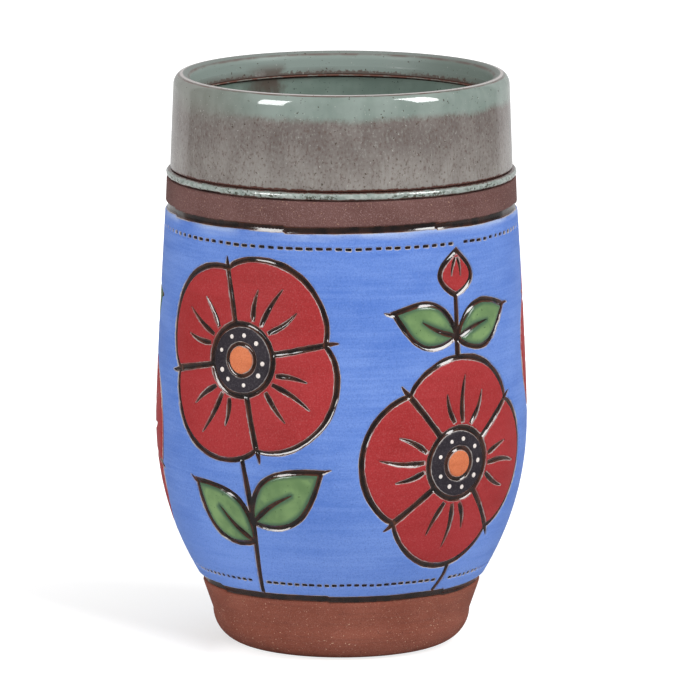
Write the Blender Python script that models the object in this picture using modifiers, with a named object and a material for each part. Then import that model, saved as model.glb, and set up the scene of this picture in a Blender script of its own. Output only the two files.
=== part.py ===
"""A hand-thrown stoneware mug without a handle, glazed at the lip and painted with slips.

The mug is one turned clay body. Every coat that the potter lays on it is a solid of its own:
the liner glaze, the glaze over the lip and collar, the bead of glaze that pools on the ledge,
the blue slip ground, the coloured slips of the flowers, and the dark glaze that lies in the
carved lines between them. Metres, +Z up, origin at the middle of the base.
"""

import math

import bmesh
import bpy
from mathutils import Vector
from mathutils.geometry import delaunay_2d_cdt

# Heights of the zones of the wall, from the table up.
FOOT_HEIGHT = 0.0142
PANEL_HEIGHT = 0.0860
BAND_HEIGHT = 0.0056
BEAD_HEIGHT = 0.0020
COLLAR_HEIGHT = 0.0212

# The widest radius, how far above the foot it lies, and how far the wall draws in from it.
BELLY_RADIUS = 0.04175
BELLY_RISE = 0.0374
FOOT_INSET = 0.0106
SHOULDER_INSET = 0.0024
LOWER_FULLNESS = 2.2
UPPER_FULLNESS = 1.3

# The bare band, the ledge over it, and the collar.
BAND_TAPER = 0.0002
LEDGE_DEPTH = 0.0008
COLLAR_TAPER = 0.0007

# The foot.
FOOT_TAPER = 0.0022
EDGE_ROUNDING = 0.0075
FOOT_RING_WIDTH = 0.0052
FOOT_RECESS = 0.0012
RECESS_SLOPE = 0.0010

# The wall, the floor and the corner between them.
WALL = 0.0048
FLOOR = 0.0078
INNER_CORNER = 0.0090

# The lip: a crest that rounds off further down outside than inside, the end of its inner
# rounding in degrees, a bevel inside it, and a ridge of bare clay where the bevel ends.
CREST_ROUNDING = 0.0020
CREST_DROP = 0.0026
CREST_SWEEP = 150
RIDGE_DEPTH = 0.0050
RIDGE_INSET = 0.0041
RIDGE_LAND = 0.0006
RIDGE_PROUD = 0.0006

# Coats. Each lies on what is under it with a small seat gap.
SEAT_GAP = 0.0003
SLIP = 0.0008
GLAZE = 0.0007
LINE_GLAZE = 0.0005

# Carved lines, and the borders above and below the panel.
LINE_WIDTH = 0.0017
BORDER_WIDTH = 0.0016

# Flowers: petals about a dark centre with an orange button. The bloom's size comes from how
# many plants share the wall and how much blue is left between two of them. Of the height that
# a bloom leaves free, shares stay bare above the highest and under the lowest. A share of it
# and the width of a carved line make the length of a full leaf, and so with a bud.
PLANTS_ROUND = 5
BLOOM_SPACING = 0.0030
NOTCH_DEPTH = 0.0036
PETALS = 4
PETAL_FULLNESS = 0.7
CENTRE_RADIUS = 0.0072
BUTTON_RADIUS = 0.0033
TOP_SHARE = 0.126
STUB_SHARE = 0.165
LEAF_SHARE = 0.505
BUD_SHARE = 0.193

# Stems and leaves. A shape is a width as a share of the length.
STEM_SWAY = 0.0022
LEAF_SHAPE = 0.54
BUD_SHAPE = 0.95
LEAF_FULLNESS = 0.85

# How finely the turned forms and the drawn outlines are divided, the least cosine that a
# corner's mitre is worked out for, the angle of an edge that isn't shaded smooth, in degrees,
# and how near points are merged.
SEGMENTS = 32
LOWER_ROWS = 4
UPPER_ROWS = 3
ARC_STEPS = 4
CREST_STEPS = 2
BEAD_STEPS = 4
PETAL_STEPS = 4
ROOT_STEPS = 2
CENTRE_STEPS = 10
BUTTON_STEPS = 8
LEAF_STEPS = 4
STEM_STEPS = 2
SHARPEST_MITRE = 0.5
SHARP_EDGE = 40
MERGE = 0.000001

PANEL_BOTTOM = FOOT_HEIGHT
PANEL_TOP = FOOT_HEIGHT + PANEL_HEIGHT
BAND_TOP = PANEL_TOP + BAND_HEIGHT
COLLAR_BOTTOM = BAND_TOP + BEAD_HEIGHT
CREST = COLLAR_BOTTOM + COLLAR_HEIGHT
BELLY = PANEL_BOTTOM + BELLY_RISE
GROUND_BOTTOM = PANEL_BOTTOM + BORDER_WIDTH
GROUND_TOP = PANEL_TOP - BORDER_WIDTH

FOOT_TOP_RADIUS = BELLY_RADIUS - FOOT_INSET
BASE_RADIUS = FOOT_TOP_RADIUS - FOOT_TAPER - EDGE_ROUNDING
SHOULDER_RADIUS = BELLY_RADIUS - SHOULDER_INSET
BAND_TOP_RADIUS = SHOULDER_RADIUS - BAND_TAPER
COLLAR_RADIUS = BAND_TOP_RADIUS - LEDGE_DEPTH
LIP_RADIUS = COLLAR_RADIUS - COLLAR_TAPER
RIDGE_RADIUS = LIP_RADIUS - RIDGE_INSET
RIDGE = CREST - RIDGE_DEPTH

GIRTH = 2 * math.pi * BELLY_RADIUS
BLOOM_RADIUS = (GIRTH / PLANTS_ROUND - BLOOM_SPACING) / 2 - LINE_WIDTH
FREE_HEIGHT = GROUND_TOP - GROUND_BOTTOM - 2 * (BLOOM_RADIUS + LINE_WIDTH)
TOP_MARGIN = TOP_SHARE * FREE_HEIGHT
STEM_STUB = STUB_SHARE * FREE_HEIGHT
LEAF_LENGTH = LEAF_SHARE * FREE_HEIGHT + LINE_WIDTH
BUD_LENGTH = BUD_SHARE * FREE_HEIGHT + LINE_WIDTH

# Each plant by its bloom: the height, from 0 at the low place to 1 at the high one, and the
# turn of its petals in degrees. They stand evenly round the wall from FIRST_PLANT, which is
# in degrees from the front, towards +X.
FIRST_PLANT = -33
BLOOMS = ((1.0, 12), (0.0, 38), (1.0, 62), (0.5, 24), (0.0, 78))

# Leaves: how far from the bloom each springs, its lean from upright in degrees, and its
# size as a share of a full leaf's. The distance is a share of the height below the bloom on a
# stem, and of the height above it on the sprig that stands on a low bloom.
STEM_LEAVES = ((0.41, 54, 1.0), (0.57, -50, 0.95))
SHORT_STEM_LEAVES = ((0.46, 60, 0.85), (0.64, -56, 0.80))
SPRIG_LEAVES = ((0.15, 71, 0.83), (0.17, -69, 0.80))
BUD_LEAN = 4

COLOURS = {
    "clay": ((0.257, 0.085, 0.057), 0.75),
    "celadon_glaze": ((0.27, 0.33, 0.30), 0.12),
    "grey_glaze": ((0.224, 0.20, 0.186), 0.15),
    "blue_slip": ((0.123, 0.244, 0.68), 0.45),
    "red_slip": ((0.42, 0.045, 0.05), 0.5),
    "charcoal_slip": ((0.049, 0.045, 0.052), 0.5),
    "orange_slip": ((0.72, 0.20, 0.07), 0.5),
    "green_slip": ((0.16, 0.33, 0.10), 0.45),
    "line_glaze": ((0.035, 0.02, 0.017), 0.15),
}


def clear_scene():
    for obj in list(bpy.data.objects):
        bpy.data.objects.remove(obj)


def new_collection(name):
    collection = bpy.data.collections.new(name)
    bpy.context.scene.collection.children.link(collection)
    return collection


def new_material(name):
    colour, roughness = COLOURS[name]
    material = bpy.data.materials.new(name)
    material.use_nodes = True
    shader = material.node_tree.nodes["Principled BSDF"]
    shader.inputs["Base Color"].default_value = (*colour, 1.0)
    shader.inputs["Roughness"].default_value = roughness
    shader.inputs["Metallic"].default_value = 0.0
    return material


def outer_radius(height):
    """Radius of the finished outer surface of the panel."""
    if height <= BELLY:
        share = (BELLY - height) / BELLY_RISE
        return BELLY_RADIUS - FOOT_INSET * share**LOWER_FULLNESS
    share = (height - BELLY) / (PANEL_TOP - BELLY)
    return BELLY_RADIUS - SHOULDER_INSET * share**UPPER_FULLNESS


def rows():
    """The heights at which every coat of the panel, and the clay under it, bends."""
    lower_step = (BELLY - GROUND_BOTTOM) / LOWER_ROWS
    upper_step = (GROUND_TOP - BELLY) / UPPER_ROWS
    lower = [GROUND_BOTTOM + lower_step * i for i in range(LOWER_ROWS)]
    return lower + [BELLY + upper_step * i for i in range(UPPER_ROWS + 1)]


def arc(centre_x, centre_z, radius, start, end, steps=ARC_STEPS, rise=None):
    """Points of an arc in the profile plane. Angles are in degrees from +X towards +Z. On an
    oval, rise is the radius upwards."""
    rise = radius if rise is None else rise
    angles = [math.radians(start + (end - start) * i / steps) for i in range(steps + 1)]
    return [
        (centre_x + radius * math.cos(a), centre_z + rise * math.sin(a)) for a in angles
    ]


def lip_profile(depth):
    """From the ridge inside the lip, over the crest and down the outside of the collar, that
    far under the finished surface."""
    crest_radius = LIP_RADIUS - CREST_ROUNDING
    across = CREST_ROUNDING - depth
    down = CREST_DROP - depth
    inner = arc(crest_radius, CREST - CREST_ROUNDING, across, CREST_SWEEP, 90, CREST_STEPS)
    outer = arc(crest_radius, CREST - CREST_DROP, across, 90, 0, ARC_STEPS, down)
    return [
        (RIDGE_RADIUS + depth, RIDGE),
        *inner,
        *outer[1:],
        (COLLAR_RADIUS - depth, COLLAR_BOTTOM),
    ]


def inside_profile(depth, top):
    """From the middle of the floor up the inside to just under the ridge, that far under the
    finished surface."""
    corner_height = FLOOR + INNER_CORNER
    corner_radius = outer_radius(corner_height) - WALL - INNER_CORNER
    corner = arc(corner_radius, corner_height, INNER_CORNER + depth, -90, 0)
    wall = [row for row in rows() if row > corner_height + INNER_CORNER / 2]
    return [
        (0.0, FLOOR - depth),
        *corner,
        *[(outer_radius(row) - WALL + depth, row) for row in wall],
        (COLLAR_RADIUS - WALL + depth, COLLAR_BOTTOM),
        (RIDGE_RADIUS + RIDGE_PROUD + depth, top),
    ]


def turned(name, profile, material, collection, closed=True):
    """A profile in the XZ plane turned about Z. It runs down its outer side."""
    mesh = bpy.data.meshes.new(name)
    points = [(x, 0.0, z) for x, z in profile]
    edges = [(i, i + 1) for i in range(len(points) - 1)]
    if closed:
        edges.append((len(points) - 1, 0))
    mesh.from_pydata(points, edges, [])
    mesh.materials.append(material)
    obj = bpy.data.objects.new(name, mesh)
    collection.objects.link(obj)
    screw = obj.modifiers.new("Turn", "SCREW")
    screw.steps = SEGMENTS
    screw.render_steps = SEGMENTS
    screw.use_merge_vertices = True
    screw.merge_threshold = MERGE
    screw.use_smooth_shade = True
    return obj


def make_clay_body(materials, collection):
    """The thrown and trimmed body, with the seats for all the coats."""
    slip_seat = SLIP + SEAT_GAP
    glaze_seat = GLAZE + SEAT_GAP
    ridge_top = RIDGE - SEAT_GAP
    ridge_bottom = ridge_top - RIDGE_LAND
    ring_inner = BASE_RADIUS - FOOT_RING_WIDTH
    profile = inside_profile(glaze_seat, ridge_bottom)
    profile.append((RIDGE_RADIUS + RIDGE_PROUD, ridge_bottom))
    profile.append((RIDGE_RADIUS, ridge_top))
    profile.append((RIDGE_RADIUS + glaze_seat, ridge_top))
    profile += lip_profile(glaze_seat)[1:-1]
    profile.append((COLLAR_RADIUS - glaze_seat, BAND_TOP))
    profile.append((BAND_TOP_RADIUS, BAND_TOP))
    profile.append((SHOULDER_RADIUS, PANEL_TOP))
    profile.append((SHOULDER_RADIUS - slip_seat, PANEL_TOP))
    profile += [(outer_radius(row) - slip_seat, row) for row in reversed(rows())]
    profile.append((FOOT_TOP_RADIUS - slip_seat, PANEL_BOTTOM))
    profile.append((FOOT_TOP_RADIUS, PANEL_BOTTOM))
    profile += arc(BASE_RADIUS, EDGE_ROUNDING, EDGE_ROUNDING, 0, -90)
    profile.append((ring_inner, 0.0))
    profile.append((ring_inner - RECESS_SLOPE, FOOT_RECESS))
    profile.append((0.0, FOOT_RECESS))
    turned("clay_body", profile, materials["clay"], collection, closed=False)


def make_liner_glaze(materials, collection):
    top = RIDGE - RIDGE_LAND - 2 * SEAT_GAP
    cavity_side = inside_profile(0.0, top)
    clay_side = inside_profile(GLAZE, top)
    profile = cavity_side + list(reversed(clay_side))
    turned("liner_glaze", profile, materials["celadon_glaze"], collection, closed=False)


def make_rim_glaze(materials, collection):
    profile = lip_profile(0.0) + list(reversed(lip_profile(GLAZE)))
    turned("rim_glaze", profile, materials["grey_glaze"], collection)


def make_ledge_bead(materials, collection):
    """The roll of glaze that pools on the ledge under the collar."""
    radius = BEAD_HEIGHT / 2 - SEAT_GAP
    middle = BAND_TOP + BEAD_HEIGHT / 2
    inner = COLLAR_RADIUS - GLAZE
    profile = [(inner, middle + radius)]
    profile += arc(BAND_TOP_RADIUS - radius, middle, radius, 90, -90, BEAD_STEPS)
    profile.append((inner, middle - radius))
    turned("ledge_glaze_bead", profile, materials["celadon_glaze"], collection)


def make_border_lines(materials, collection):
    """The glaze in the lines carved round the wall above and below the panel."""
    for name, low, high in (
        ("top_border_line", GROUND_TOP + SEAT_GAP, PANEL_TOP - SEAT_GAP),
        ("foot_border_line", PANEL_BOTTOM + SEAT_GAP, GROUND_BOTTOM - SEAT_GAP),
    ):
        face = SLIP - LINE_GLAZE
        profile = [
            (outer_radius(high) - SLIP, high),
            (outer_radius(high) - face, high),
            (outer_radius(low) - face, low),
            (outer_radius(low) - SLIP, low),
        ]
        turned(name, profile, materials["line_glaze"], collection)


def grown(points, distance):
    """A counter-clockwise outline moved outwards, with its corners mitred."""
    moved = []
    for i, (x, y) in enumerate(points):
        before = points[i - 1]
        after = points[(i + 1) % len(points)]
        normals = []
        for start, end in ((before, (x, y)), ((x, y), after)):
            dx, dy = end[0] - start[0], end[1] - start[1]
            length = math.hypot(dx, dy)
            normals.append((dy / length, -dx / length))
        mx, my = normals[0][0] + normals[1][0], normals[0][1] + normals[1][1]
        size = math.hypot(mx, my)
        mx, my = mx / size, my / size
        reach = distance / max(SHARPEST_MITRE, mx * normals[0][0] + my * normals[0][1])
        moved.append((x + mx * reach, y + my * reach))
    return moved


def bloom_edge(angle):
    """Distance from the bloom's middle to its edge, with a notch between two petals."""
    lobe = abs(math.sin(angle * PETALS / 2)) ** PETAL_FULLNESS
    return BLOOM_RADIUS - NOTCH_DEPTH * (1 - lobe)


def petal_outline(index, turn):
    """One petal, from the bloom's dark centre to its edge, between two carved lines."""
    start = 2 * math.pi * index / PETALS
    span = 2 * math.pi / PETALS
    half_line = LINE_WIDTH / 2
    root = CENTRE_RADIUS + LINE_WIDTH
    edge_inset = math.asin(half_line / bloom_edge(start))
    root_inset = math.asin(half_line / root)
    points = []
    for step in range(PETAL_STEPS + 1):
        angle = start + edge_inset + (span - 2 * edge_inset) * step / PETAL_STEPS
        points.append((bloom_edge(angle), angle))
    for step in range(ROOT_STEPS, -1, -1):
        angle = start + root_inset + (span - 2 * root_inset) * step / ROOT_STEPS
        points.append((root, angle))
    return [(r * math.cos(a + turn), r * math.sin(a + turn)) for r, a in points]


def bloom_outline(turn):
    steps = PETALS * PETAL_STEPS
    angles = [2 * math.pi * i / steps for i in range(steps)]
    return [
        (bloom_edge(a) * math.cos(a + turn), bloom_edge(a) * math.sin(a + turn))
        for a in angles
    ]


def round_outline(radius, steps):
    """A polygon about a circle, so that its sides and not its corners have the radius."""
    angles = [2 * math.pi * i / steps for i in range(steps)]
    reach = radius / math.cos(math.pi / steps)
    return [(reach * math.cos(a), reach * math.sin(a)) for a in angles]


def leaf_outline(spot, lean, length, width):
    """A leaf or a bud with its base at the spot, leaning clockwise from upright."""
    shares = [i / LEAF_STEPS for i in range(1, LEAF_STEPS)]
    bulges = [math.sin(math.pi * share**LEAF_FULLNESS) for share in shares]
    right = [(width / 2 * bulge, length * s) for bulge, s in zip(bulges, shares)]
    left = [(-x, y) for x, y in reversed(right)]
    blade = [(0.0, 0.0), *right, (0.0, length), *left]
    c, s = math.cos(math.radians(lean)), math.sin(math.radians(lean))
    return [(spot[0] + x * c + y * s, spot[1] - x * s + y * c) for x, y in blade]


def stroke_outline(path, width):
    """A line of even width across, along a path that climbs."""
    right = [(x + width / 2, y) for x, y in path]
    left = [(x - width / 2, y) for x, y in reversed(path)]
    return right + left


def bloom_height(share):
    """Height of a bloom's middle, for its share between the low place and the high one."""
    edge = BLOOM_RADIUS + LINE_WIDTH
    low = GROUND_BOTTOM + STEM_STUB + edge
    high = GROUND_TOP - TOP_MARGIN - edge
    return low + (high - low) * share


def stem_point(share, height):
    """A point of the stem's middle line, from the border at 0 to the bloom at 1."""
    foot = GROUND_BOTTOM - height
    head = NOTCH_DEPTH - BLOOM_RADIUS
    return (STEM_SWAY * math.sin(math.pi * share), foot + (head - foot) * share)


def stem_and_leaves(share, height):
    """The stem of a plant, and its sprig if it has one, as paths, and the outlines of its
    leaves and of its bud, measured from the middle of its bloom."""
    edge = BLOOM_RADIUS + LINE_WIDTH
    foot = GROUND_BOTTOM - height
    head = NOTCH_DEPTH - BLOOM_RADIUS
    paths = [[stem_point(i / STEM_STEPS, height) for i in range(STEM_STEPS + 1)]]
    springs = []
    buds = []
    if share == 0.0:
        tip = GROUND_TOP - TOP_MARGIN - LINE_WIDTH - height
        room = tip - edge
        for above, lean, size in SPRIG_LEAVES:
            springs.append(((0.0, edge + above * room), lean, size))
        base = tip - BUD_LENGTH
        paths.append([(0.0, -head), (0.0, base - LINE_WIDTH / 2)])
        buds.append(leaf_outline((0.0, base), BUD_LEAN, BUD_LENGTH, BUD_LENGTH * BUD_SHAPE))
    else:
        room = -edge - foot
        for below, lean, size in STEM_LEAVES if share == 1.0 else SHORT_STEM_LEAVES:
            along = room * (1 - below) / (head - foot)
            springs.append((stem_point(along, height), lean, size))
    leaves = []
    clear = LINE_WIDTH / 2 + SEAT_GAP
    for (x, y), lean, size in springs:
        out = math.radians(lean)
        spot = (x + clear * math.sin(out), y + clear * math.cos(out))
        length = LEAF_LENGTH * size
        leaves.append(leaf_outline(spot, lean, length, length * LEAF_SHAPE))
    return paths, leaves, buds


def on_wall(outline, degrees, height):
    """A plant's outline laid out on the unrolled wall, as arc length at the belly from +X
    and height. It keeps its true width at the height of the bloom's middle."""
    middle = math.radians(degrees - 90)
    stretch = BELLY_RADIUS / outer_radius(height)
    return [(middle * BELLY_RADIUS + x * stretch, height + y) for x, y in outline]


def laid_coat(name, inside, outside, outer_depth, inner_depth, material, collection):
    """A coat that covers the unrolled wall where an inside outline holds it and no outside
    one does, between two depths under the finished surface."""
    all_points = [point for outline in inside for point in outline]
    left = min(x for x, _ in all_points)
    right = max(x for x, _ in all_points)
    bend = GIRTH / SEGMENTS
    points, edges, faces = [], [], []
    for outline in (*inside, *outside):
        faces.append(list(range(len(points), len(points) + len(outline))))
        points += outline
    for column in range(math.floor(left / bend), math.ceil(right / bend) + 1):
        edges.append((len(points), len(points) + 1))
        points += [(column * bend, GROUND_BOTTOM), (column * bend, GROUND_TOP)]
    for row in rows():
        edges.append((len(points), len(points) + 1))
        points += [(left, row), (right, row)]
    flat_points = [Vector(point) for point in points]
    flat = delaunay_2d_cdt(flat_points, edges, faces, 1, MERGE)
    places, triangles, sources = flat[0], flat[2], flat[5]

    shaped = bmesh.new()
    corners = []
    for across, height in places:
        around = across / BELLY_RADIUS
        out = outer_radius(height) - outer_depth
        spot = (out * math.cos(around), out * math.sin(around), height)
        corners.append(shaped.verts.new(spot))
    for triangle, source in zip(triangles, sources):
        held = any(i < len(inside) for i in source)
        barred = any(len(inside) <= i < len(inside) + len(outside) for i in source)
        if held and not barred:
            shaped.faces.new([corners[i] for i in triangle])
    loose = [vertex for vertex in shaped.verts if not vertex.link_faces]
    bmesh.ops.delete(shaped, geom=loose, context="VERTS")
    bmesh.ops.remove_doubles(shaped, verts=shaped.verts, dist=MERGE)
    deepened = bmesh.ops.extrude_face_region(shaped, geom=shaped.faces[:])
    for vertex in deepened["geom"]:
        if isinstance(vertex, bmesh.types.BMVert):
            out = math.hypot(vertex.co.x, vertex.co.y)
            shrink = 1 - (inner_depth - outer_depth) / out
            vertex.co.x *= shrink
            vertex.co.y *= shrink
    bmesh.ops.recalc_face_normals(shaped, faces=shaped.faces)
    if shaped.calc_volume(signed=True) < 0:
        bmesh.ops.reverse_faces(shaped, faces=shaped.faces)

    mesh = bpy.data.meshes.new(name)
    shaped.to_mesh(mesh)
    shaped.free()
    mesh.materials.append(material)
    mesh.shade_smooth()
    mesh.set_sharp_from_angle(angle=math.radians(SHARP_EDGE))
    collection.objects.link(bpy.data.objects.new(name, mesh))


def make_plant(number, degrees, share, turn, materials, parts):
    """One plant's slips and the glaze in its carved lines. Returns the outlines that the
    plant takes out of the blue ground."""
    name = f"poppy_{number}"
    height = bloom_height(share)
    turn = math.radians(turn)
    petals = [petal_outline(i, turn) for i in range(PETALS)]
    centre = round_outline(CENTRE_RADIUS, CENTRE_STEPS)
    button = round_outline(BUTTON_RADIUS, BUTTON_STEPS)
    button_seat = grown(button, SEAT_GAP)
    bloom = bloom_outline(turn)
    paths, leaves, buds = stem_and_leaves(share, height)

    def slip(label, outline, material, hole=None):
        inside = [on_wall(outline, degrees, height)]
        outside = [on_wall(hole, degrees, height)] if hole else []
        laid_coat(f"{name}_{label}", inside, outside, 0.0, SLIP, materials[material], parts)

    for i, petal in enumerate(petals, start=1):
        slip(f"petal_{i}", petal, "red_slip")
    slip("centre", centre, "charcoal_slip", hole=button_seat)
    slip("button", button, "orange_slip")
    for i, leaf in enumerate(leaves, start=1):
        slip(f"leaf_{i}", leaf, "green_slip")
    for bud in buds:
        slip("bud", bud, "red_slip")

    def carved(width):
        """The outlines that the carved lines cover, out to that distance from the slips."""
        found = [grown(outline, width) for outline in (bloom, *leaves, *buds)]
        narrower = 2 * (LINE_WIDTH - width)
        found += [stroke_outline(path, LINE_WIDTH - narrower) for path in paths]
        return [on_wall(outline, degrees, height) for outline in found]

    slips = [grown(outline, SEAT_GAP) for outline in (*petals, centre, *leaves, *buds)]
    laid_coat(
        f"{name}_line_glaze",
        carved(LINE_WIDTH - SEAT_GAP),
        [on_wall(outline, degrees, height) for outline in slips],
        SLIP - LINE_GLAZE,
        SLIP,
        materials["line_glaze"],
        parts,
    )
    return carved(LINE_WIDTH)


def make_blue_ground(cuts, materials, parts):
    """The blue coat round the whole wall. An outline that crosses the line where the wall
    is unrolled counts on both sides of it."""
    whole = [
        (0.0, GROUND_BOTTOM),
        (GIRTH, GROUND_BOTTOM),
        (GIRTH, GROUND_TOP),
        (0.0, GROUND_TOP),
    ]
    outside = []
    for outline in cuts:
        for lap in (-1, 0, 1):
            shifted = [(x + lap * GIRTH, y) for x, y in outline]
            if min(x for x, _ in shifted) < GIRTH and max(x for x, _ in shifted) > 0:
                outside.append(shifted)
    laid_coat(
        "blue_slip_ground", [whole], outside, 0.0, SLIP, materials["blue_slip"], parts
    )


def main():
    clear_scene()
    parts = new_collection("pottery_mug")
    materials = {name: new_material(name) for name in COLOURS}
    make_clay_body(materials, parts)
    make_liner_glaze(materials, parts)
    make_rim_glaze(materials, parts)
    make_ledge_bead(materials, parts)
    make_border_lines(materials, parts)
    cuts = []
    for number, (share, turn) in enumerate(BLOOMS, start=1):
        degrees = FIRST_PLANT + 360 * (number - 1) / PLANTS_ROUND
        cuts += make_plant(number, degrees, share, turn, materials, parts)
    make_blue_ground(cuts, materials, parts)


main()
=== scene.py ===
"""The pottery mug with its hand-made surfaces: the carved lines, the coats of slip between
them, the glazes and the bare clay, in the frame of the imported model. Metres, +Z up."""

from math import asin, ceil, cos, exp, floor, hypot, pi, radians, sin, sqrt

import bpy
import numpy as np
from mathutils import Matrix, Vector, kdtree, noise
from mathutils.geometry import delaunay_2d_cdt


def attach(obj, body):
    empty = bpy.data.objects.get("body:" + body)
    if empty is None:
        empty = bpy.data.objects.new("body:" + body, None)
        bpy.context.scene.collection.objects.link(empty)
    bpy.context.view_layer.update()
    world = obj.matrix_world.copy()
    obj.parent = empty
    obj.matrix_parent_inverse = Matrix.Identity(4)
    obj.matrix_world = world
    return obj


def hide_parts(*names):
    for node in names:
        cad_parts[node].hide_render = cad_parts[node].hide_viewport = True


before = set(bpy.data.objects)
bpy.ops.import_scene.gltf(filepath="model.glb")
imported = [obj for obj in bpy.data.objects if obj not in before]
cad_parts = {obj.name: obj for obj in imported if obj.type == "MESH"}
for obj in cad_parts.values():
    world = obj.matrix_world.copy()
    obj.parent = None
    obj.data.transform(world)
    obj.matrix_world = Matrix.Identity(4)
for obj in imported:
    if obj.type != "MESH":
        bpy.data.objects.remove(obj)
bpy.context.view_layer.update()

MM = 0.001

# The mug's measures, as the solids have them.
FOOT_HEIGHT = 0.0142
PANEL_TOP = 0.1002
BAND_TOP = 0.1058
COLLAR_BOTTOM = 0.1078
CREST = 0.1290
BELLY_RADIUS = 0.04175
BELLY_RISE = 0.0374
FOOT_INSET = 0.0106
SHOULDER_INSET = 0.0024
LOWER_FULLNESS = 2.2
UPPER_FULLNESS = 1.3
BAND_TAPER = 0.0002
LEDGE_DEPTH = 0.0008
COLLAR_TAPER = 0.0007
FOOT_TAPER = 0.0022
EDGE_ROUNDING = 0.0075
FOOT_RING_WIDTH = 0.0052
FOOT_RECESS = 0.0012
RECESS_SLOPE = 0.0010
WALL = 0.0048
FLOOR = 0.0078
INNER_CORNER = 0.0090
CREST_ROUNDING = 0.0020
CREST_DROP = 0.0026
CREST_SWEEP = 150
RIDGE_DEPTH = 0.0050
RIDGE_INSET = 0.0041
RIDGE_LAND = 0.0006
RIDGE_PROUD = 0.0006
SEAT_GAP = 0.0003
SLIP = 0.0008
GLAZE = 0.0007
LINE_WIDTH = 0.0017
BORDER_WIDTH = 0.0016
PLANTS_ROUND = 5
BLOOM_SPACING = 0.0030
NOTCH_DEPTH = 0.0036
PETALS = 4
PETAL_FULLNESS = 0.7
CENTRE_RADIUS = 0.0072
BUTTON_RADIUS = 0.0033
TOP_SHARE = 0.126
STUB_SHARE = 0.165
LEAF_SHARE = 0.505
BUD_SHARE = 0.193
STEM_SWAY = 0.0022
LEAF_SHAPE = 0.54
BUD_SHAPE = 0.95
LEAF_FULLNESS = 0.85
FIRST_PLANT = -33
BLOOMS = ((1.0, 12), (0.0, 38), (1.0, 62), (0.5, 24), (0.0, 78))
STEM_LEAVES = ((0.41, 54, 1.0), (0.57, -50, 0.95))
SHORT_STEM_LEAVES = ((0.46, 60, 0.85), (0.64, -56, 0.80))
SPRIG_LEAVES = ((0.15, 71, 0.83), (0.17, -69, 0.80))
BUD_LEAN = 4

BELLY = FOOT_HEIGHT + BELLY_RISE
GROUND_BOTTOM = FOOT_HEIGHT + BORDER_WIDTH
GROUND_TOP = PANEL_TOP - BORDER_WIDTH
FOOT_TOP_RADIUS = BELLY_RADIUS - FOOT_INSET
BASE_RADIUS = FOOT_TOP_RADIUS - FOOT_TAPER - EDGE_ROUNDING
SHOULDER_RADIUS = BELLY_RADIUS - SHOULDER_INSET
BAND_TOP_RADIUS = SHOULDER_RADIUS - BAND_TAPER
COLLAR_RADIUS = BAND_TOP_RADIUS - LEDGE_DEPTH
LIP_RADIUS = COLLAR_RADIUS - COLLAR_TAPER
RIDGE_RADIUS = LIP_RADIUS - RIDGE_INSET
RIDGE = CREST - RIDGE_DEPTH
GIRTH = 2 * pi * BELLY_RADIUS
BLOOM_RADIUS = (GIRTH / PLANTS_ROUND - BLOOM_SPACING) / 2 - LINE_WIDTH
BLOOM_REACH = BLOOM_RADIUS + LINE_WIDTH
STEM_TOP = NOTCH_DEPTH - BLOOM_RADIUS
FREE_HEIGHT = GROUND_TOP - GROUND_BOTTOM - 2 * BLOOM_REACH
TOP_MARGIN = TOP_SHARE * FREE_HEIGHT
STEM_STUB = STUB_SHARE * FREE_HEIGHT
LEAF_LENGTH = LEAF_SHARE * FREE_HEIGHT + LINE_WIDTH
BUD_LENGTH = BUD_SHARE * FREE_HEIGHT + LINE_WIDTH

# How the surfaces are divided: steps round a turned form, the spacing of points along an
# outline and over a coat, and how far from an edge the finer rows of points lie.
TURN_STEPS = 288
EDGE_SPACING = 0.45 * MM
COAT_SPACING = 1.1 * MM
EDGE_ROWS = (0.14 * MM, 0.31 * MM, 0.52 * MM, 0.80 * MM)
SAMPLING = 0.09 * MM
MERGE = 1e-7

# A carved line narrows where the slip laps over its sides. Its glaze meets the slip at one
# depth under the finished wall and falls to another in the middle. A coat's rim rolls down.
LAP = 0.20 * MM
HALF_LINE = 0.5 * LINE_WIDTH - LAP
GROOVE = 0.66 * MM
GROOVE_EDGE = 0.36 * MM
RIM_DROP = 0.28 * MM
RIM_ROLL = 0.45 * MM

# The hollow in a border's glaze: the depth at its sides, how much deeper it is at its lowest,
# where that is across the border, and how far the hollow reaches below and above.
BORDER_DEPTH = 0.40 * MM
HOLLOW_DEPTH = 0.17 * MM
HOLLOW_PLACE = 0.30
HOLLOW_BELOW = 0.15
HOLLOW_ABOVE = 0.45

# The rows of dashes, as (height, pitch, length, width, seed), and the depth of their glaze.
DASH_ROWS = (
    (0.0952, 2.35 * MM, 1.50 * MM, 0.66 * MM, 70),
    (0.0186, 2.1 * MM, 1.45 * MM, 0.60 * MM, 80),
)
DASH_DEPTH = 0.42 * MM
DASH_CLEARANCE = 0.9 * MM

# The veins of a petal, as (place across it, reach towards its edge), and the cream dots round
# a bloom's button.
VEINS = ((-0.30, 0.56), (0.02, 0.76), (0.32, 0.50))
VEIN_WIDTH = 1.35 * MM
CREAM_DOTS = 9
CREAM_RADIUS = 0.55 * MM

# The borders are carved in that many strokes. Each slopes up by at most twice that much over
# its length and drops back over a short end. The two borders differ by their seeds.
BORDER_STROKES = 7
STROKE_SLOPE = 0.26 * MM
STROKE_END = 0.35 * MM
UPPER_SEED = 3
LOWER_SEED = 5

# The unrolled wall is cut open midway between two plants at the back.
PITCH = 360 / PLANTS_ROUND
SEAM = radians(FIRST_PLANT + 2.5 * PITCH - 90) * BELLY_RADIUS

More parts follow.
